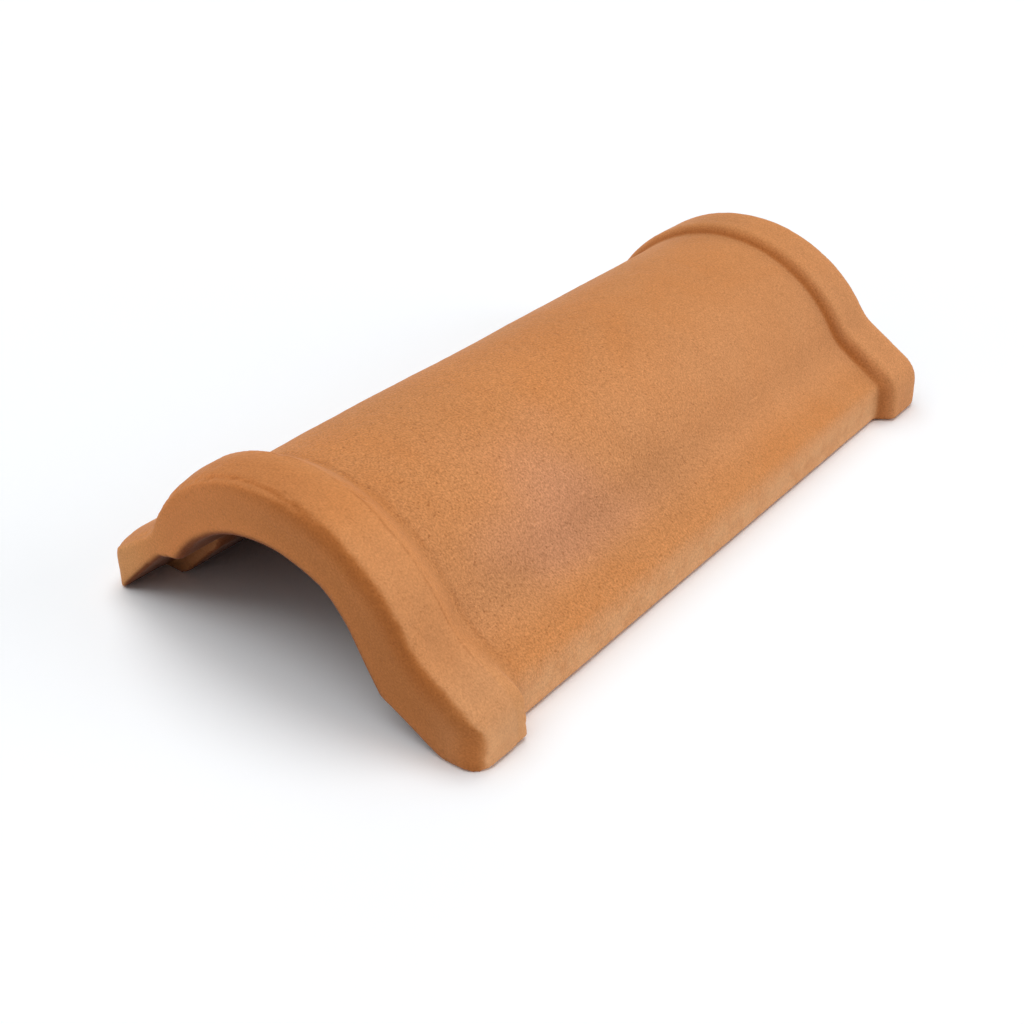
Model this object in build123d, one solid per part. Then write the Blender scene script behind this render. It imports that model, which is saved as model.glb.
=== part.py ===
from build123d import *
import os
from math import cos, radians, sin, sqrt, tan

# Clay ridge tile, pressed and fired in one piece: an arched shell with a sloping flange along each
# side and a raised collar round each end.
# Frame in millimetres: X across the tile, Y along it from the front collar to the back one, Z up.
# The origin is on the floor, under the middle of the tile. Angles are in degrees.

# Overall
LENGTH = 380.0
OVERRUN = 20.0

# Outside of the body: an arch that sweeps down to a flange on each side, and the flange's outer edge
ARCH_RADIUS = 76.5
ARCH_SWEEP = 64.0
FLANGE_WIDTH = 27.7
FLANGE_SLOPE = 33.0
FLANGE_EDGE_HEIGHT = 20.0
FLANGE_EDGE_DRAFT = 2.0
BEND_RADIUS = 29.0
SHOULDER_RADIUS = 4.0

# Hollow under the arch: a round vault, short haunches, then slopes under the flanges down to the soles
CROWN_WALL = 20.5
VAULT_RADIUS = 66.0
VAULT_SWEEP = 60.0
HAUNCH_DROP = 3.5
HAUNCH_RADIUS = 8.0
SOLE_WIDTH = 12.0

# Heel block inside the front end of the right foot: it has a tighter vault of its own and longer haunches
BLOCK_DEPTH = 25.0
BLOCK_BED = 6.0
BLOCK_VAULT_LIFT = 3.0
BLOCK_VAULT_RADIUS = 48.2
BLOCK_VAULT_SWEEP = 60.0
BLOCK_HAUNCH_DROP = 24.8
BLOCK_HEEL_RADIUS = 7.0

# Collars: how far they stand out all round, how much more at the crown and at the toes, and their widths
FRONT_COLLAR_STEP = 5.2
FRONT_COLLAR_RISE = 2.8
BACK_COLLAR_STEP = 7.0
BACK_COLLAR_RISE = -2.8
COLLAR_TOE_STEP = 8.6
COLLAR_SHOULDER_RADIUS = 15.0
FRONT_COLLAR_FLAT = 23.5
FRONT_COLLAR_RAMP = 11.0
BACK_COLLAR_FLAT = 28.0
BACK_COLLAR_RAMP = 5.5
CREST_RADIUS = 3.0
COVE_RADIUS = 3.2
END_RADIUS = 6.0

# Edges of the hollow at each end, and edges round the soles
VAULT_EDGE_RADIUS = 3.0
SOLE_EDGE_RADIUS = 2.4

# Notch in the left foot at the front end: the lip left outside it, its slope and its roof
NOTCH_DEPTH = 25.0
NOTCH_LIP = 7.7
NOTCH_RUN = 30.7
NOTCH_SLOPE = 43.5
NOTCH_ROOF_WIDTH = 12.1
NOTCH_ROOF_SLOPE = 14.5

# How near an edge must lie to a plane to count as lying in it
MATCH = 0.01

# Places that follow from these
HALF_LENGTH = LENGTH / 2
BEND_X = ARCH_RADIUS * sin(radians(ARCH_SWEEP))
BEND_Z = FLANGE_EDGE_HEIGHT + FLANGE_WIDTH * tan(radians(FLANGE_SLOPE))
ARCH_CENTRE_Z = BEND_Z - ARCH_RADIUS * cos(radians(ARCH_SWEEP))
TOE_X = BEND_X + FLANGE_WIDTH + FLANGE_EDGE_HEIGHT * tan(radians(FLANGE_EDGE_DRAFT))
VAULT_CROWN_Z = ARCH_CENTRE_Z + ARCH_RADIUS - CROWN_WALL


def along(outline, start, end):
    """Solid of a section outline, between two places along the tile."""
    return extrude(across(outline, start), amount=end - start, dir=(0, 1, 0))


def across(outline, y):
    """A section outline set across the tile at a place along it."""
    return Plane(origin=(0, y, 0), x_dir=(1, 0, 0), z_dir=(0, -1, 0)) * outline


def corners_at(outline, height):
    """The two corners of a section outline at a height above the floor."""
    return outline.vertices().sort_by(lambda corner: abs(corner.Y - height))[:2]


def outside_outline(step, crown_rise, toe_step, shoulder_radius):
    """Outer outline on the floor, standing out from the body's own by a step."""
    rise = tan(radians(FLANGE_SLOPE))
    draft = tan(radians(FLANGE_EDGE_DRAFT))
    across_slope = sin(radians(FLANGE_SLOPE))
    up_slope = cos(radians(FLANGE_SLOPE))
    radius = ARCH_RADIUS + step
    centre_z = ARCH_CENTRE_Z + crown_rise
    # A point on the flange's top line, and that line's distance from the arch's centre
    flange_x = BEND_X + step * across_slope
    flange_z = BEND_Z + step * up_slope
    reach = flange_x * across_slope + (flange_z - centre_z) * up_slope
    run = sqrt(radius**2 - reach**2)
    bend_x = reach * across_slope + run * up_slope
    bend_z = centre_z + reach * up_slope - run * across_slope
    toe_x = TOE_X + toe_step
    shoulder_z = (flange_z - (toe_x - flange_x) * rise) / (1 - draft * rise)
    shoulder_x = toe_x - shoulder_z * draft
    root_x = toe_x + OVERRUN * draft
    feet = Polygon(
        (-root_x, -OVERRUN),
        (root_x, -OVERRUN),
        (shoulder_x, shoulder_z),
        (bend_x, bend_z),
        (-bend_x, bend_z),
        (-shoulder_x, shoulder_z),
        align=None,
    )
    outline = feet + Pos(0, centre_z) * Circle(radius)
    outline = fillet(corners_at(outline, bend_z), BEND_RADIUS - step)
    outline = fillet(corners_at(outline, shoulder_z), shoulder_radius)
    above_floor = Pos(0, LENGTH / 2) * Rectangle(LENGTH, LENGTH)
    return outline & above_floor


def vault_outline(crown_z, radius, sweep, drop, heel_radius):
    """Outline under a vault: its arc, straight haunches on down to the heels, then slopes to the soles."""
    slope = radians(sweep)
    haunch_x = radius * sin(slope)
    haunch_z = crown_z - radius + radius * cos(slope)
    heel_x = haunch_x + drop / tan(slope)
    heel_z = haunch_z - drop
    sole_x = TOE_X - SOLE_WIDTH
    root_x = sole_x + OVERRUN * (sole_x - heel_x) / heel_z
    sides = Polyline(
        (haunch_x, haunch_z),
        (heel_x, heel_z),
        (root_x, -OVERRUN),
        (-root_x, -OVERRUN),
        (-heel_x, heel_z),
        (-haunch_x, haunch_z),
    )
    vault = ThreePointArc((-haunch_x, haunch_z), (0, crown_z), (haunch_x, haunch_z))
    return fillet(corners_at(make_face([sides, vault]), heel_z), heel_radius)


def notch_outline():
    """Outline of the notch: from the lip up its slope, in along its roof, and out into the hollow."""
    lip_x = TOE_X + COLLAR_TOE_STEP - NOTCH_LIP
    knee_x = lip_x - NOTCH_RUN
    knee_z = NOTCH_RUN * tan(radians(NOTCH_SLOPE))
    roof_x = knee_x - NOTCH_ROOF_WIDTH
    roof_z = knee_z + NOTCH_ROOF_WIDTH * tan(radians(NOTCH_ROOF_SLOPE))
    inner_x = roof_x - OVERRUN
    return Polygon(
        (-inner_x, -OVERRUN),
        (-inner_x, roof_z),
        (-roof_x, roof_z),
        (-knee_x, knee_z),
        (-lip_x, 0),
        (-lip_x, -OVERRUN),
        align=None,
    )


def standing_edges(solid, y):
    """Edges of a solid in one section plane, but for those on the floor."""
    edges = solid.edges().filter_by_position(Axis.Y, y - MATCH, y + MATCH)
    return edges.filter_by(lambda edge: edge.bounding_box().max.Z > MATCH)


def collar(step, crown_rise, end, crest, base):
    """Raised band round one end: rounded at the tile's end, flat to its crest, then a ramp to the body."""
    outline = outside_outline(step, crown_rise, COLLAR_TOE_STEP, COLLAR_SHOULDER_RADIUS)
    band = along(outline, min(end, crest), max(end, crest))
    ramp = loft([across(outline, crest), across(BODY, base)], ruled=True)
    return fillet(standing_edges(band, end), END_RADIUS) + ramp


BODY = outside_outline(0, 0, 0, SHOULDER_RADIUS)
front_crest = FRONT_COLLAR_FLAT - HALF_LENGTH
front_base = front_crest + FRONT_COLLAR_RAMP
back_crest = HALF_LENGTH - BACK_COLLAR_FLAT
back_base = back_crest - BACK_COLLAR_RAMP

# The outside, as one block: body and collars, with their crests and coves rounded
block = along(BODY, front_base, back_base)
block += collar(FRONT_COLLAR_STEP, FRONT_COLLAR_RISE, -HALF_LENGTH, front_crest, front_base)
block += collar(BACK_COLLAR_STEP, BACK_COLLAR_RISE, HALF_LENGTH, back_crest, back_base)
block = fillet(standing_edges(block, front_crest) + standing_edges(block, back_crest), CREST_RADIUS)
block = fillet(standing_edges(block, front_base) + standing_edges(block, back_base), COVE_RADIUS)

# The hollow, rounded where it opens at each end, and the soles, rounded all round
hollow_outline = vault_outline(VAULT_CROWN_Z, VAULT_RADIUS, VAULT_SWEEP, HAUNCH_DROP, HAUNCH_RADIUS)
hollow = along(hollow_outline, -HALF_LENGTH - OVERRUN, HALF_LENGTH + OVERRUN)
shell = block - hollow
hollow_edges = new_edges(block, hollow, combined=shell)
shell = fillet(hollow_edges.filter_by(lambda edge: edge.bounding_box().size.Y < MATCH), VAULT_EDGE_RADIUS)
sole_edges = shell.edges().filter_by(lambda edge: edge.bounding_box().max.Z < MATCH)
shell = fillet(sole_edges, SOLE_EDGE_RADIUS)

# The heel block, bedded in the right foot and rounded at the front like the hollow
right_half = Pos(LENGTH / 2, LENGTH / 2) * Rectangle(LENGTH, LENGTH)
bed_outline = offset(hollow_outline, BLOCK_BED) & right_half
bed = along(bed_outline, -HALF_LENGTH, BLOCK_DEPTH - HALF_LENGTH)
block_hollow_outline = vault_outline(
    VAULT_CROWN_Z + BLOCK_VAULT_LIFT,
    BLOCK_VAULT_RADIUS,
    BLOCK_VAULT_SWEEP,
    BLOCK_HAUNCH_DROP,
    BLOCK_HEEL_RADIUS,
)
block_hollow = along(block_hollow_outline, -HALF_LENGTH - OVERRUN, HALF_LENGTH)
heel_block = bed - block_hollow
heel_edges = new_edges(bed, block_hollow, combined=heel_block)
heel_edges = heel_edges.filter_by_position(Axis.Y, -HALF_LENGTH - MATCH, -HALF_LENGTH + MATCH)
shell += fillet(heel_edges, VAULT_EDGE_RADIUS)

# The notch, through the left foot's front end
notch = along(notch_outline(), -HALF_LENGTH - OVERRUN, NOTCH_DEPTH - HALF_LENGTH)
ridge_tile = shell - notch

os.makedirs("parts", exist_ok=True)
export_step(ridge_tile, "parts/ridge_tile.step")
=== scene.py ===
# Clay ridge tile on a white floor, seen from above its front right corner. Lengths are in metres.
from math import cos, pi, radians, sin

import bpy
import numpy as np
from mathutils import Matrix, Vector, noise
from mathutils.kdtree import KDTree


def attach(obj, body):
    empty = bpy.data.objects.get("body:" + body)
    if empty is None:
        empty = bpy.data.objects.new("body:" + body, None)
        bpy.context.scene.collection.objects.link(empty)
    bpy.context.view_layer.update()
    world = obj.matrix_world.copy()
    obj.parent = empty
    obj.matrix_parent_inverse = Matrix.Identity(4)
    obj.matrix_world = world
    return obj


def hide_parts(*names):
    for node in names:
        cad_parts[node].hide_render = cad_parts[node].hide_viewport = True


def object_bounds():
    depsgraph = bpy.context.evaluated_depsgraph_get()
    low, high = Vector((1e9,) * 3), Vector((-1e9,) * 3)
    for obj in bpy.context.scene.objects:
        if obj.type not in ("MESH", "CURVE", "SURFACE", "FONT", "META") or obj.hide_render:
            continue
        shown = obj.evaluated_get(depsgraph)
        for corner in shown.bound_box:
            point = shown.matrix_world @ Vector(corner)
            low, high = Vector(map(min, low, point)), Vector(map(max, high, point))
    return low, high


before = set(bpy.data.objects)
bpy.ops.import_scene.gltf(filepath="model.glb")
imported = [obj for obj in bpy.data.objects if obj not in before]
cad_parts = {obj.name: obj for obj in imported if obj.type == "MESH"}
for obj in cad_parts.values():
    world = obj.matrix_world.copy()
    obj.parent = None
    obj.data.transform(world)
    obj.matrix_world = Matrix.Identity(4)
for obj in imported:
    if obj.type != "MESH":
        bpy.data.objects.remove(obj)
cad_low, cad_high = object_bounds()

# X runs across the tile to its right, Y along it from front to back, and Z up.
# A pair of places or values is where a soft step begins and where it is complete.

# Mesh of the clay: its grid, and the smoothing that takes the grid's steps out
GRID = 0.0017
SMOOTH_SHARE = 0.5
SMOOTH_ROUNDS = 2

# Unevenness of the pressed clay. Each swell: its length, how far it stands out, and its layer of noise
SWELLS = (
    (0.085, 0.0005, 1),
    (0.020, 0.00024, 2),
    (0.0055, 0.00011, 3),
)
# It fades out towards the soles, which lie flat on the floor
SOLE_FADE = 0.004
# Chips in the outer edges, from the middle of the tile to its front: the noise above which clay is lost
CHIP_LENGTH = 0.0040
CHIP_LAYER = 4
CHIP_DEPTH = 0.0009
CHIP_ABOVE = 0.06
CHIP_ALONG = (0.0, -0.15)
# Wear that slopes the front collar's top towards its end, from the crown to the left
WEAR_DEPTH = 0.0022
WEAR_WIDTH = 0.017
WEAR_ACROSS = (0.045, -0.005)
WEAR_OUTWARD = (0.2, 0.7)
# Flange edges between the collars are worn round: how much, and where
ROUNDED_ROUNDS = 9
ROUNDED_ACROSS = (0.078, 0.088)
ROUNDED_ALONG = (0.158, 0.150)
ROUNDED_UP = (0.003, 0.010)
# So are the corners at the front collar's two toes
CORNER_RADIUS = 0.012
# At its toes the front collar drops steeply to the flange, and not by the solid's long ramp
TOE_STEP = 0.0086
TOE_ACROSS = (0.087, 0.096)
TOE_RAMP = (-0.1555, -0.1665)
TOE_DROP = (-0.1565, -0.1610)

# How the surface is looked at for its kind: the arch's centre, and how sharp an edge counts in full
ARCH_CENTRE_HEIGHT = 0.0045
EDGE_ROUNDS = 14
EDGE_FULL = 0.00045

# Kinds of surface by how far they face out of the arch: the outside and the hollow
OUTSIDE = (0.2, 0.5)
HOLLOW = (-0.1, -0.5)
# The ends, and on them the left half and the left flap, which are painted lighter, and a band under the
# outer edge, where shade is painted
END_FACING = (0.25, 0.80)
END_ALONG = (0.176, 0.184)
LEFT_ACROSS = (0.045, -0.045)
FLAP_ACROSS = (-0.050, -0.095)
# A band under the ends' outer edge where shade is painted: its width, and how that edge is found
RIM_WIDTH = 0.011
RIM_FACING = (0.2, 0.8)
RIM_OUTWARD = 0.3
# The back wall of the notch in the left foot: its limits, and its share of the hollow's painted shade
NOTCH_FACING = 0.5
NOTCH_ALONG = (-0.180, -0.150)
NOTCH_ACROSS = -0.030
NOTCH_OUTWARD = 0.25
NOTCH_SHADE_SHARE = 0.6
# The flanks between crown and flange, which begin further out towards the front, and the collars
FLANK_ACROSS = (0.012, 0.060)
FLANK_END = (0.090, 0.074)
FLANK_SHIFT = 0.010
FLANK_SHIFT_ALONG = (0.0, -0.12)
COLLAR_ALONG = (0.150, 0.165)
# The flanges, the front toes, and the worn left half of the front collar's top, where shade is painted
FLANGE_ACROSS = (0.078, 0.096)
TOE_ALONG = (-0.150, -0.160)
WORN_ALONG = (-0.164, -0.178)
WORN_ACROSS = (0.050, -0.005)
# The upright sides under the flanges
SIDE_FACING = (0.60, 0.99)
SIDE_OUTWARD = (0.3, 0.6)
SIDE_UP = (0.026, 0.008)
# Sandy grain: its share at the back, where it grows from there, and what the sides and front collar lose
GRAIN_AT_BACK = 0.70
GRAIN_ALONG = (0.12, -0.06)
GRAIN_SIDE_LOSS = 0.35
GRAIN_COLLAR_LOSS = 0.45
GRAIN_COLLAR_ALONG = (-0.152, -0.160)

# Collars: where the lines along their crests and feet run
FRONT_CREST = -0.1667
FRONT_FOOT = -0.1534
BACK_SEAM_START = 0.1550
BACK_FOOT = 0.1575
BACK_CREST = 0.1650

# Scorch marks from the kiln: place and reach, then their ragged edges, and where they stop on the flange
SCORCHES = (
    ((0.066, -0.084, 0.044), 0.058),
    ((-0.078, 0.060, 0.040), 0.060),
)
SCORCH_LENGTH = 0.030
SCORCH_LAYER = 5
SCORCH_RAGGED = 0.35
SCORCH_FADE = (0.1, 1.1)
SCORCH_ACROSS = (0.086, 0.072)

# Patches of painted light and shade, lighter or darker: place, reach and level
PAINTED_LIGHT_PATCHES = (
    ((0.068, -0.118, 0.041), 0.032, 0.96),
    ((0.071, -0.070, 0.037), 0.034, 0.95),
    ((0.072, -0.020, 0.036), 0.032, 0.95),
    ((0.045, -0.105, 0.066), 0.045, 1.04),
    ((0.052, 0.015, 0.060), 0.036, 1.04),
    ((-0.020, -0.100, 0.078), 0.060, 0.96),
    ((-0.020, 0.000, 0.078), 0.060, 0.96),
    ((-0.020, 0.090, 0.078), 0.060, 0.97),
    ((-0.020, 0.160, 0.083), 0.035, 0.90),
    ((0.103, -0.187, 0.008), 0.016, 1.15),
    ((0.052, 0.075, 0.058), 0.062, 1.03),
    ((0.071, 0.040, 0.037), 0.036, 1.03),
    ((0.071, 0.085, 0.037), 0.036, 1.04),
    ((0.071, 0.130, 0.037), 0.032, 1.03),
    ((0.101, -0.172, 0.020), 0.036, 0.95),
    ((0.028, -0.030, 0.074), 0.060, 1.04),
    ((0.045, -0.178, 0.072), 0.036, 1.05),
)
PATCH_FADE = (0.2, 1.0)
# The flanges between the collars are lighter by this share
FLANGE_GAIN = 0.04
FLANGE_GAIN_ACROSS = (0.074, 0.085)

# Clay colours
ORANGE = (0.565, 0.221, 0.068)
TAN = (0.570, 0.237, 0.082)
FLANK = (0.612, 0.267, 0.104)
PINK = (0.612, 0.273, 0.132)
DUST = (0.690, 0.355, 0.165)
# Painted shade for the ends and the worn collar top, and painted light for the ends' left half and left
# flap
SHADED_CLAY = (0.485, 0.177, 0.051)
LIT_END = (0.630, 0.233, 0.071)
LIT_FLAP = (0.675, 0.306, 0.109)
# Painted shade for the hollow and the notch's back wall, which lie in shadow
HOLLOW_SHADE = (0.180, 0.052, 0.015)
# Painted shade in the cove at the back collar's foot
COVE_SHADE = (0.450, 0.143, 0.033)
# Shares of a colour on a kind of surface
TOE_DUST = 0.35
TOE_END_DUST = 0.15
WORN_SHADE = 0.70
SEAM_ON_FLANGE = 0.7
RIM_AT_LEFT = 0.3

# What marks leave of a colour
UNMARKED = (1.0, 1.0, 1.0)
RAMP_MARK = (1.0, 0.98, 0.93)
# Painted shade in the creases at the front collar's crest and foot
CREST_SHADE = (0.83, 0.77, 0.70)
FOOT_SHADE = (0.91, 0.86, 0.79)
# Painted shade in a band under the ends' outer edges
RIM_SHADE = (0.84, 0.74, 0.58)
PIT_MARK = (0.86, 0.80, 0.72)
# The least and the most that sand and grit leave of it
SAND_MARKS = ((0.54, 0.48, 0.42), (1.46, 1.52, 1.58))
GRIT_MARKS = ((0.93, 0.92, 0.90), (1.07, 1.08, 1.10))
# Widths of the marks at the front collar's ramp, and how far the lines there wander
RAMP_SOFT = 0.002
CREST_WIDTH = 0.0013
FOOT_WIDTH = 0.0024
LINE_WANDER = 0.0015

# Grains in the clay: length of the swells, then detail, roughness and distortion where they are set
MOTTLE = (0.055, 4.0, 0.6, 0.8)
POWDER = (0.012, 4.0, 0.65)
BREAKS = (0.010, 3.0, 0.7)
WANDER = (0.020, 2.0)
SAND = (0.0009, 1.0, 0.6)
GRIT = (0.0031, 2.0, 0.6)
PITS = (0.0016, 1.0)
# What is read from a grain or a note: where the step begins and is complete, then its low and high values
TAN_STEP = (0.35, 0.68)
FLANK_STEP = (0.25, 0.65, 0.65, 1.0)
POWDER_STEP = (0.25, 0.6, 0.45, 1.0)
BREAK_STEP = (0.40, 0.60, 0.30, 1.0)
RIM_STEP = (0.0, 0.9)
# Lighter on outer edges, with painted shade in creases and hollows
EDGE_AND_CREASE_SHADE = (-0.9, 0.9, 0.93, 1.05)
PIT_STEP = (0.66, 0.74)
ROUGHNESS_STEP = (0.3, 0.7, 0.80, 0.92)
# Relief of the grains, too fine for the mesh
SAND_RELIEF = 0.00030
GRIT_RELIEF = 0.00030
PIT_RELIEF = 0.00015
# Gloss
SPECULAR = 0.2
SHEEN = 0.13
SHEEN_ROUGHNESS = 0.25

# Camera, as the photograph was taken. The image is 1024 pixels wide, and angles are in degrees.
IMAGE_PIXELS = 1024
FOCAL_PIXELS = 1403.7
SENSOR = 36.0
CAMERA_PLACE = (0.35416, -0.48614, 0.35481)
CAMERA_AZIMUTH = 38.092
CAMERA_ELEVATION = 31.70
CAMERA_ROLL = -0.436

# Floor and light
FLOOR_SIZE = 20.0
FLOOR_WHITE = (0.995, 1.02, 1.045)
FLOOR_BOUNCE = 0.85
SKY_LEVEL = 0.164
# Each lamp: azimuth, elevation, angle across, and light on a surface that faces it
LAMPS = {
    "overhead": (280.0, 80.0, 75.0, 0.425),
    "left": (335.0, 25.0, 60.0, 0.100),
    "rim": (245.0, 35.0, 50.0, 0.090),
    "front": (0.0, 72.0, 30.0, 0.065),
    "right": (115.0, 14.0, 45.0, 0.385),
    "back": (180.0, 72.0, 30.0, 0.186),
}


def smooth_step(values, start, end):
    """0 before start and 1 after end, with a soft rise between them."""
    share = np.clip((values - start) / (end - start), 0.0, 1.0)
    return share * share * (3 - 2 * share)


def noise_at(places, length, layer):
    """Smooth noise from -1 to 1 at each place. Each layer has a pattern of its own."""
    shift = Vector((layer, 2 * layer, 3 * layer))
    return np.array([noise.noise(Vector(place) / length + shift) for place in places])


def read_points(mesh):
    """Places and outward directions of a mesh's points."""
    places = np.empty(len(mesh.vertices) * 3)
    normals = np.empty(len(mesh.vertices) * 3)
    mesh.vertices.foreach_get("co", places)
    mesh.vertices.foreach_get("normal", normals)
    return places.reshape(-1, 3), normals.reshape(-1, 3)


def levelled(mesh, places, rounds):
    """Places moved to the middle of their neighbours, a number of times."""
    ends = np.empty(len(mesh.edges) * 2, dtype=int)
    mesh.edges.foreach_get("vertices", ends)
    one, other = ends.reshape(-1, 2).T
    neighbours = np.bincount(ends, minlength=len(places))[:, None]
    for _ in range(rounds):
        total = np.zeros_like(places)
        np.add.at(total, one, places[other])
        np.add.at(total, other, places[one])
        places = total / neighbours
    return places


def edge_shape(mesh, places, normals):
    """How far each point stands out from round about: near 1 on outer edges, near -1 in hollows."""
    height = ((places - levelled(mesh, places, EDGE_ROUNDS)) * normals).sum(axis=1)
    return np.clip(height / EDGE_FULL, -1.0, 1.0)


def outwardness(places, normals):
    """Near 1 on the outside of the arch and flanges, 0 on the ends and soles, and below 0 in the hollow."""
    radial = places * (1, 0, 1) - (0, 0, ARCH_CENTRE_HEIGHT)
    return (radial * normals).sum(axis=1) / np.linalg.norm(radial, axis=1)


def round_flange_edges(mesh, places, normals):
    """Moves the points near the flange edges, so that these are worn round between the collars."""
    across, along, up = np.abs(places).T
    share = smooth_step(across, *ROUNDED_ACROSS) * smooth_step(along, *ROUNDED_ALONG)
    share *= smooth_step(up, *ROUNDED_UP)
    share *= smooth_step(outwardness(places, normals), *OUTSIDE)
    places += (levelled(mesh, places, ROUNDED_ROUNDS) - places) * share[:, None]


def steepen_toes(places, across):
    """Moves the points of the front collar's ramp outwards at its toes, so that it drops steeply there."""
    along = places[:, 1]
    ramp = np.clip((along - TOE_RAMP[0]) / (TOE_RAMP[1] - TOE_RAMP[0]), 0.0, 1.0)
    push = np.maximum(smooth_step(along, *TOE_DROP) - ramp, 0.0) * smooth_step(across, *TOE_ACROSS)
    places[:, 0] += TOE_STEP * push * np.sign(places[:, 0])


def round_toe_corners(places):
    """Draws the points at the two front corners in to a round corner, as seen from above."""
    corner = np.stack([np.sign(places[:, 0]) * cad_high[0], np.full(len(places), cad_low[1])], axis=1)
    centre = corner - np.sign(corner) * CORNER_RADIUS
    reach = places[:, :2] - centre
    beyond = (reach * np.sign(corner) > 0).all(axis=1)
    distance = np.linalg.norm(reach, axis=1)
    pull = np.where(beyond, CORNER_RADIUS / np.maximum(distance, CORNER_RADIUS), 1.0)
    places[:, :2] = centre + reach * pull[:, None]


def swell_heights(places):
    """How far the uneven clay stands out at each place."""
    height = np.zeros(len(places))
    for length, swell, layer in SWELLS:
        height += swell * noise_at(places, length, layer)
    return height


def chip_depths(mesh, places, normals):
    """How much clay is chipped off at each place."""
    edge = np.clip(edge_shape(mesh, places, normals), 0.0, 1.0)
    edge *= smooth_step(outwardness(places, normals), *OUTSIDE)
    lost = np.clip(noise_at(places, CHIP_LENGTH, CHIP_LAYER) - CHIP_ABOVE, 0.0, 1.0)
    return CHIP_DEPTH * edge * lost * smooth_step(places[:, 1], *CHIP_ALONG)


def wear_depths(places, normals):
    """How much clay is worn off the front collar's top at each place."""
    worn = smooth_step(places[:, 1] - cad_low[1], WEAR_WIDTH, 0.0) * smooth_step(places[:, 0], *WEAR_ACROSS)
    return WEAR_DEPTH * worn * smooth_step(outwardness(places, normals), *WEAR_OUTWARD)


def weather(mesh):
    """Gives the mesh the worn and chipped edges of pressed clay, and its unevenness."""
    places, normals = read_points(mesh)
    across = np.abs(places[:, 0])
    round_flange_edges(mesh, places, normals)
    steepen_toes(places, across)
    round_toe_corners(places)
    height = swell_heights(places) - chip_depths(mesh, places, normals) - wear_depths(places, normals)
    height *= smooth_step(places[:, 2], 0.0, SOLE_FADE)
    places += normals * height[:, None]
    places[:, 2] = np.maximum(places[:, 2], 0.0)
    mesh.vertices.foreach_set("co", places.ravel())
    mesh.update()


def rim_nearness(places, facing_end, outward):
    """1 on the ends close under their outer edge, falling to 0 further in."""
    least, most = RIM_FACING
    rim = KDTree(len(places))
    for index in np.flatnonzero((facing_end > least) & (facing_end < most) & (outward > RIM_OUTWARD)):
        rim.insert(places[index], index)
    rim.balance()
    nearness = np.zeros(len(places))
    for index in np.flatnonzero(facing_end > least):
        nearness[index] = 1 - min(rim.find(places[index])[2] / RIM_WIDTH, 1.0)
    return nearness


def scorch_marks(places):
    """How strongly each place is scorched, from 0 to 1."""
    ragged = noise_at(places, SCORCH_LENGTH, SCORCH_LAYER)
    marks = np.zeros(len(places))
    for place, reach in SCORCHES:
        distance = np.linalg.norm(places - place, axis=1) / reach + SCORCH_RAGGED * ragged
        marks = np.maximum(marks, 1 - smooth_step(distance, *SCORCH_FADE))
    return marks * smooth_step(np.abs(places[:, 0]), *SCORCH_ACROSS)


def painted_light_levels(places):
    """How light each place is painted, about 1: painted light and shade in patches, and the flanges between
    the collars a little lighter.
    """
    level = np.ones(len(places))
    for place, reach, patch in PAINTED_LIGHT_PATCHES:
        distance = np.linalg.norm(places - place, axis=1) / reach
        level *= 1 + (patch - 1) * (1 - smooth_step(distance, *PATCH_FADE))
    across, along = np.abs(places[:, :2]).T
    flange = smooth_step(across, *FLANGE_GAIN_ACROSS) * (1 - smooth_step(along, *COLLAR_ALONG))
    return level * (1 + FLANGE_GAIN * flange)


def note_kinds(mesh):
    """Notes on each point of the mesh what kind of surface it is, for the clay's colours."""
    places, normals = read_points(mesh)
    x, y, z = places.T
    across = np.abs(x)
    outward = outwardness(places, normals)
    facing_side, facing_end = np.abs(normals[:, :2]).T

    outside = smooth_step(outward, *OUTSIDE)
    notch = (facing_end > NOTCH_FACING) & (outward < NOTCH_OUTWARD)
    notch &= (x < NOTCH_ACROSS) & (y > NOTCH_ALONG[0]) & (y < NOTCH_ALONG[1])
    on_collar = smooth_step(np.abs(y), *COLLAR_ALONG)
    flank = smooth_step(across - FLANK_SHIFT * smooth_step(y, *FLANK_SHIFT_ALONG), *FLANK_ACROSS)
    flank *= np.maximum(smooth_step(across, *FLANK_END), on_collar)
    flange = smooth_step(across, *FLANGE_ACROSS)
    side = smooth_step(facing_side, *SIDE_FACING) * smooth_step(outward, *SIDE_OUTWARD)
    side *= smooth_step(z, *SIDE_UP) * (1 - smooth_step(y, *COLLAR_ALONG))
    rough = GRAIN_AT_BACK + (1 - GRAIN_AT_BACK) * smooth_step(y, *GRAIN_ALONG)
    rough *= 1 - GRAIN_SIDE_LOSS * side
    rough *= 1 - GRAIN_COLLAR_LOSS * smooth_step(y, *GRAIN_COLLAR_ALONG)
    kinds = {
        "outside": outside,
        "hollow": np.maximum(smooth_step(outward, *HOLLOW), NOTCH_SHADE_SHARE * notch),
        "end": smooth_step(facing_end, *END_FACING) * smooth_step(np.abs(y), *END_ALONG),
        "left": smooth_step(x, *LEFT_ACROSS),
        "flap": smooth_step(x, *FLAP_ACROSS),
        "flank": flank,
        "flange": flange,
        "toe": flange * smooth_step(y, *TOE_ALONG),
        "worn": smooth_step(y, *WORN_ALONG) * smooth_step(x, *WORN_ACROSS) * outside,
        "side": side,
        "rough": rough,
        "rim": rim_nearness(places, facing_end, outward),
        "edge": edge_shape(mesh, places, normals),
        "scorch": scorch_marks(places),
        "level": painted_light_levels(places),
    }
    for name, values in kinds.items():
        attribute = mesh.attributes.new(name, "FLOAT", "POINT")
        attribute.data.foreach_set("value", values)


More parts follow.
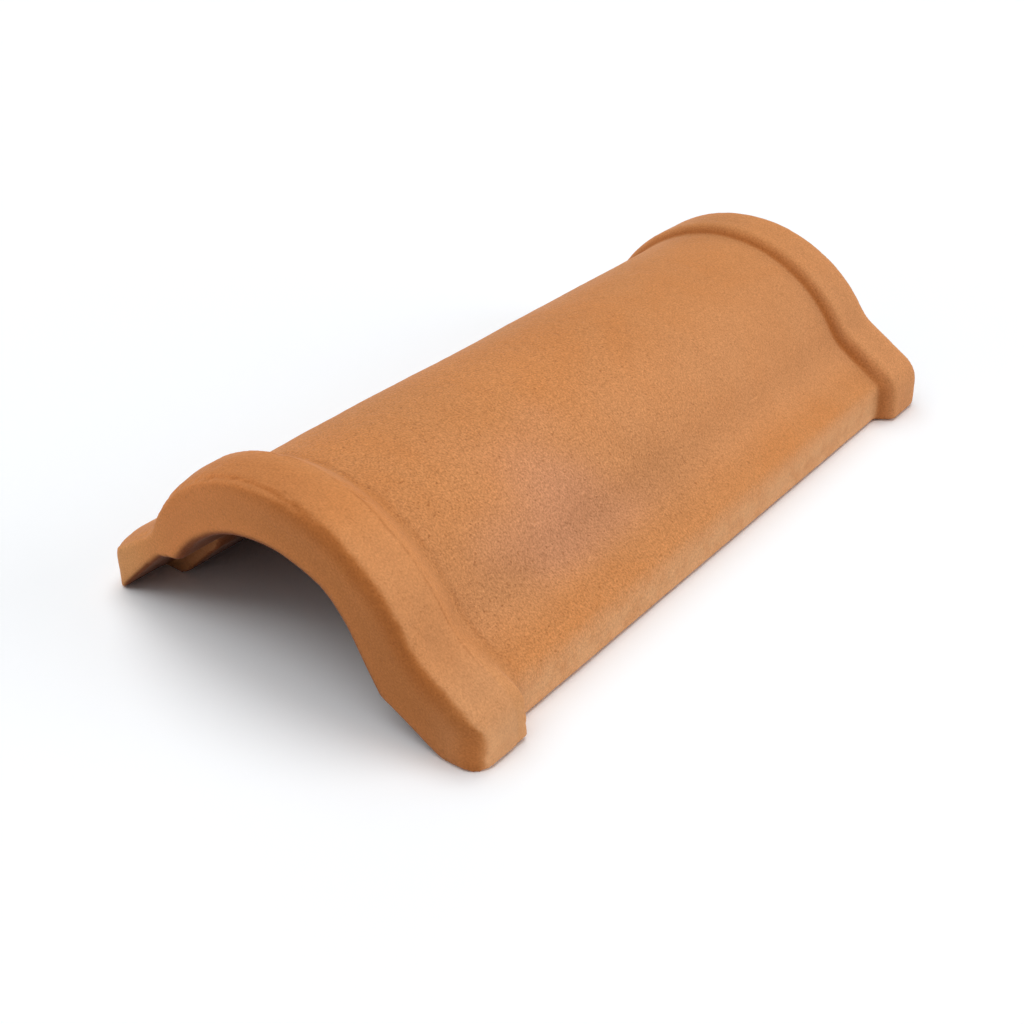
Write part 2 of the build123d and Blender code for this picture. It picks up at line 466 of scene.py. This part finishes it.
def make_tile():
    """The tile's surface as an even, fine mesh in place of the plain solid."""
    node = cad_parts["ridge_tile"]
    draft = bpy.data.objects.new("draft", node.data.copy())
    bpy.context.collection.objects.link(draft)
    remesh = draft.modifiers.new("remesh", "REMESH")
    remesh.mode = "VOXEL"
    remesh.voxel_size = GRID
    smooth = draft.modifiers.new("smooth", "SMOOTH")
    smooth.factor = SMOOTH_SHARE
    smooth.iterations = SMOOTH_ROUNDS
    depsgraph = bpy.context.evaluated_depsgraph_get()
    mesh = bpy.data.meshes.new_from_object(draft.evaluated_get(depsgraph))
    bpy.data.objects.remove(draft)
    mesh.materials.clear()
    weather(mesh)
    note_kinds(mesh)
    mesh.shade_smooth()
    tile = bpy.data.objects.new("fired_tile", mesh)
    bpy.context.collection.objects.link(tile)
    return tile


class Nodes:
    """Short ways to add nodes to a shader tree. A value is a number, a colour or another node's output."""

    def __init__(self, tree):
        self.tree = tree

    def add(self, kind, inputs, **settings):
        """A new node, with its inputs set or linked."""
        node = self.tree.nodes.new("ShaderNode" + kind)
        for name, value in settings.items():
            setattr(node, name, value)
        for name, value in inputs.items():
            if isinstance(value, bpy.types.NodeSocket):
                self.tree.links.new(value, node.inputs[name])
            else:
                node.inputs[name].default_value = value
        return node

    def note(self, name):
        """What was noted on the mesh's points under a name."""
        return self.add("Attribute", {}, attribute_name=name).outputs["Fac"]

    def along(self):
        """Place along the tile, from its front to its back."""
        place = self.add("TexCoord", {}).outputs["Object"]
        return self.add("SeparateXYZ", {0: place}).outputs["Y"]

    def grain(self, length, detail=2.0, roughness=0.5, distortion=0.0):
        """Noise from 0 to 1, with swells of a given length."""
        place = self.add("TexCoord", {}).outputs["Object"]
        inputs = {"Vector": place, "Scale": 1 / length, "Detail": detail}
        inputs.update({"Roughness": roughness, "Distortion": distortion})
        return self.add("TexNoise", inputs).outputs["Fac"]

    def step(self, value, start, end, low=0.0, high=1.0):
        """A soft rise from low to high as a value goes from start to end."""
        inputs = {"Value": value, "From Min": start, "From Max": end, "To Min": low, "To Max": high}
        return self.add("MapRange", inputs, interpolation_type="SMOOTHSTEP").outputs["Result"]

    def between(self, value, low, high):
        """A straight rise from low to high as a value goes from 0 to 1."""
        return self.add("MapRange", {"Value": value, "To Min": low, "To Max": high}).outputs["Result"]

    def maths(self, operation, one, other=0.0):
        """One or two values put through an operation."""
        return self.add("Math", {0: one, 1: other}, operation=operation).outputs[0]

    def times(self, *values):
        """Values multiplied by one another."""
        product = values[0]
        for value in values[1:]:
            product = self.maths("MULTIPLY", product, value)
        return product

    def blend(self, share, one, other):
        """A colour between two."""
        colours = [(*c, 1.0) if isinstance(c, tuple) else c for c in (one, other)]
        inputs = {0: share, 6: colours[0], 7: colours[1]}
        return self.add("Mix", inputs, data_type="RGBA").outputs[2]

    def tint(self, colour, share, one, other):
        """A colour multiplied by another, which is between two."""
        factor = self.blend(share, one, other)
        return self.add("VectorMath", {0: colour, 1: factor}, operation="MULTIPLY").outputs[0]

    def shade(self, colour, level):
        """A colour made lighter or darker."""
        return self.add("VectorMath", {0: colour, "Scale": level}, operation="SCALE").outputs[0]


def clay_colour(nodes, mottle):
    """Colour of each kind of surface: mottled orange, paler where dusty, with painted shade on the ends and
    the worn collar top, and painted light towards the ends' left.
    """
    toe = nodes.note("toe")
    colour = nodes.blend(nodes.step(mottle, *TAN_STEP), ORANGE, TAN)
    colour = nodes.blend(nodes.times(nodes.note("flank"), nodes.step(mottle, *FLANK_STEP)), colour, FLANK)
    colour = nodes.blend(nodes.note("scorch"), colour, PINK)
    powder = nodes.step(nodes.grain(*POWDER), *POWDER_STEP)
    colour = nodes.blend(nodes.times(nodes.note("side"), powder), colour, DUST)
    colour = nodes.blend(nodes.times(toe, TOE_DUST), colour, DUST)
    # Painted shade on the worn left half of the front collar's top
    colour = nodes.blend(nodes.times(nodes.note("worn"), WORN_SHADE), colour, SHADED_CLAY)
    # On the ends, painted shade, with painted light towards the left and on the left flap
    end_colour = nodes.blend(nodes.note("left"), SHADED_CLAY, LIT_END)
    end_colour = nodes.blend(nodes.note("flap"), end_colour, LIT_FLAP)
    end_colour = nodes.blend(nodes.times(toe, TOE_END_DUST), end_colour, DUST)
    return nodes.blend(nodes.note("end"), colour, end_colour)


def add_collar_lines(nodes, colour):
    """The colour with the lines that run round the collars, painted shade in their coves and creases, and
    the front ramp's deeper colour.
    """
    along = nodes.along()
    outside = nodes.note("outside")
    flange = nodes.note("flange")

    # Painted shade in the cove at the back collar's foot, fading up its ramp
    cove_shade = nodes.step(along, BACK_CREST, BACK_FOOT)
    cove_shade = nodes.times(cove_shade, cove_shade, nodes.step(along, BACK_SEAM_START, BACK_FOOT), outside)
    cove_shade = nodes.times(cove_shade, nodes.between(flange, 1.0, SEAM_ON_FLANGE))
    colour = nodes.blend(cove_shade, colour, COVE_SHADE)

    # The front collar's ramp, a little deeper in colour
    below_crest = nodes.step(along, FRONT_CREST, FRONT_CREST + RAMP_SOFT)
    above_foot = nodes.step(along, FRONT_FOOT, FRONT_FOOT - RAMP_SOFT)
    colour = nodes.tint(colour, nodes.times(below_crest, above_foot, outside), UNMARKED, RAMP_MARK)

    # Broken thin lines of painted shade in the creases at its crest and foot, which end at the flanges
    broken = nodes.step(nodes.grain(*BREAKS), *BREAK_STEP)
    wander = nodes.between(nodes.grain(*WANDER), -LINE_WANDER, LINE_WANDER)
    wandering = nodes.maths("ADD", along, wander)
    off_flange = nodes.between(flange, 1.0, 0.0)
    for place, width, mark in ((FRONT_CREST, CREST_WIDTH, CREST_SHADE), (FRONT_FOOT, FOOT_WIDTH, FOOT_SHADE)):
        distance = nodes.maths("ABSOLUTE", nodes.maths("SUBTRACT", wandering, place))
        line = nodes.times(nodes.step(distance, width, 0.0), outside, off_flange, broken)
        colour = nodes.tint(colour, line, UNMARKED, mark)
    return colour


def add_shades(nodes, colour):
    """The colour with painted shade on the hollow and in a band under the ends' outer edges, outer edges
    lighter with painted shade in creases, and painted light and shade in patches.
    """
    # Painted shade on the hollow, which lies in shadow
    colour = nodes.blend(nodes.note("hollow"), colour, HOLLOW_SHADE)
    # Painted shade in a band under the ends' outer edges, less towards the left
    rim_share = nodes.between(nodes.note("left"), 1.0, RIM_AT_LEFT)
    rim = nodes.times(nodes.note("rim"), nodes.note("end"), rim_share)
    colour = nodes.tint(colour, nodes.step(rim, *RIM_STEP), UNMARKED, RIM_SHADE)
    # Lighter on outer edges, with painted shade in creases and hollows
    colour = nodes.shade(colour, nodes.step(nodes.note("edge"), *EDGE_AND_CREASE_SHADE))
    # Painted light and shade in patches, and the flanges a little lighter
    return nodes.shade(colour, nodes.note("level"))


def make_clay():
    """Unglazed fired clay with a sandy grain."""
    material = bpy.data.materials.new("fired_clay")
    material.use_nodes = True
    nodes = Nodes(material.node_tree)
    mottle = nodes.grain(*MOTTLE)
    colour = clay_colour(nodes, mottle)
    colour = add_collar_lines(nodes, colour)
    colour = add_shades(nodes, colour)

    sand = nodes.grain(*SAND)
    grit = nodes.grain(*GRIT)
    pits = nodes.step(nodes.grain(*PITS), *PIT_STEP)
    rough = nodes.note("rough")
    grained = nodes.tint(colour, sand, *SAND_MARKS)
    grained = nodes.tint(grained, grit, *GRIT_MARKS)
    grained = nodes.tint(grained, pits, UNMARKED, PIT_MARK)
    colour = nodes.blend(rough, colour, grained)

    relief = nodes.maths("ADD", nodes.times(sand, SAND_RELIEF), nodes.times(grit, GRIT_RELIEF))
    relief = nodes.maths("SUBTRACT", relief, nodes.times(pits, PIT_RELIEF))
    relief = nodes.times(relief, rough)
    bump = nodes.add("Bump", {"Height": relief, "Strength": 1.0, "Distance": 1.0})

    shader = material.node_tree.nodes["Principled BSDF"]
    links = material.node_tree.links
    links.new(colour, shader.inputs["Base Color"])
    links.new(bump.outputs["Normal"], shader.inputs["Normal"])
    links.new(nodes.step(mottle, *ROUGHNESS_STEP), shader.inputs["Roughness"])
    shader.inputs["Specular IOR Level"].default_value = SPECULAR
    shader.inputs["Sheen Weight"].default_value = SHEEN
    shader.inputs["Sheen Roughness"].default_value = SHEEN_ROUGHNESS
    return material


def seen_directly(nodes):
    """Node output that is 1 for what the camera, a reflection or a clear material sees."""
    path = nodes.add("LightPath", {}).outputs
    seen = nodes.maths("MAXIMUM", path["Is Camera Ray"], path["Is Glossy Ray"])
    return nodes.maths("MAXIMUM", seen, path["Is Transmission Ray"])


def make_floor():
    """White floor: full white to the eye, a little less in the light that it throws back."""
    half = FLOOR_SIZE / 2
    mesh = bpy.data.meshes.new("floor")
    corners = [(-half, -half, 0), (half, -half, 0), (half, half, 0), (-half, half, 0)]
    mesh.from_pydata(corners, [], [(0, 1, 2, 3)])
    floor = bpy.data.objects.new("floor", mesh)
    bpy.context.collection.objects.link(floor)
    material = bpy.data.materials.new("floor_white")
    material.use_nodes = True
    tree = material.node_tree
    tree.nodes.remove(tree.nodes["Principled BSDF"])
    nodes = Nodes(tree)
    colour = nodes.blend(seen_directly(nodes), (FLOOR_BOUNCE,) * 3, FLOOR_WHITE)
    diffuse = nodes.add("BsdfDiffuse", {"Color": colour})
    tree.links.new(diffuse.outputs["BSDF"], tree.nodes["Material Output"].inputs["Surface"])
    mesh.materials.append(material)


def make_sky():
    """Even light from all round, and a white backdrop behind the floor."""
    world = bpy.data.worlds.new("studio")
    bpy.context.scene.world = world
    world.use_nodes = True
    nodes = Nodes(world.node_tree)
    background = world.node_tree.nodes["Background"]
    background.inputs["Color"].default_value = (1.0, 1.0, 1.0, 1.0)
    level = nodes.step(seen_directly(nodes), 0.0, 1.0, SKY_LEVEL, 1.0)
    world.node_tree.links.new(level, background.inputs["Strength"])


def towards(azimuth, elevation):
    """Direction from the tile to a place round it: azimuth 0 is the front, 90 the right."""
    level = cos(radians(elevation))
    return Vector((sin(radians(azimuth)) * level, -cos(radians(azimuth)) * level, sin(radians(elevation))))


def make_lamps():
    """Wide soft lamps, far enough off to light the floor evenly."""
    for name, (azimuth, elevation, width, light) in LAMPS.items():
        lamp = bpy.data.lights.new(name, "SUN")
        lamp.angle = radians(width)
        lamp.energy = light * pi
        holder = bpy.data.objects.new(name, lamp)
        holder.rotation_euler = towards(azimuth, elevation).to_track_quat("Z", "Y").to_euler()
        bpy.context.collection.objects.link(holder)


def make_camera():
    """The photograph's view."""
    data = bpy.data.cameras.new("camera")
    data.sensor_width = SENSOR
    data.lens = FOCAL_PIXELS / IMAGE_PIXELS * SENSOR
    camera = bpy.data.objects.new("camera", data)
    aim = Matrix.Rotation(radians(CAMERA_AZIMUTH), 4, "Z")
    aim @= Matrix.Rotation(radians(90 - CAMERA_ELEVATION), 4, "X")
    aim @= Matrix.Rotation(radians(CAMERA_ROLL), 4, "Z")
    camera.matrix_world = Matrix.Translation(CAMERA_PLACE) @ aim
    bpy.context.collection.objects.link(camera)
    bpy.context.scene.camera = camera


tile = make_tile()
tile.data.materials.append(make_clay())
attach(tile, "root")
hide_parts("ridge_tile")

make_floor()
make_sky()
make_lamps()
make_camera()
bpy.context.scene.view_settings.view_transform = "Standard"
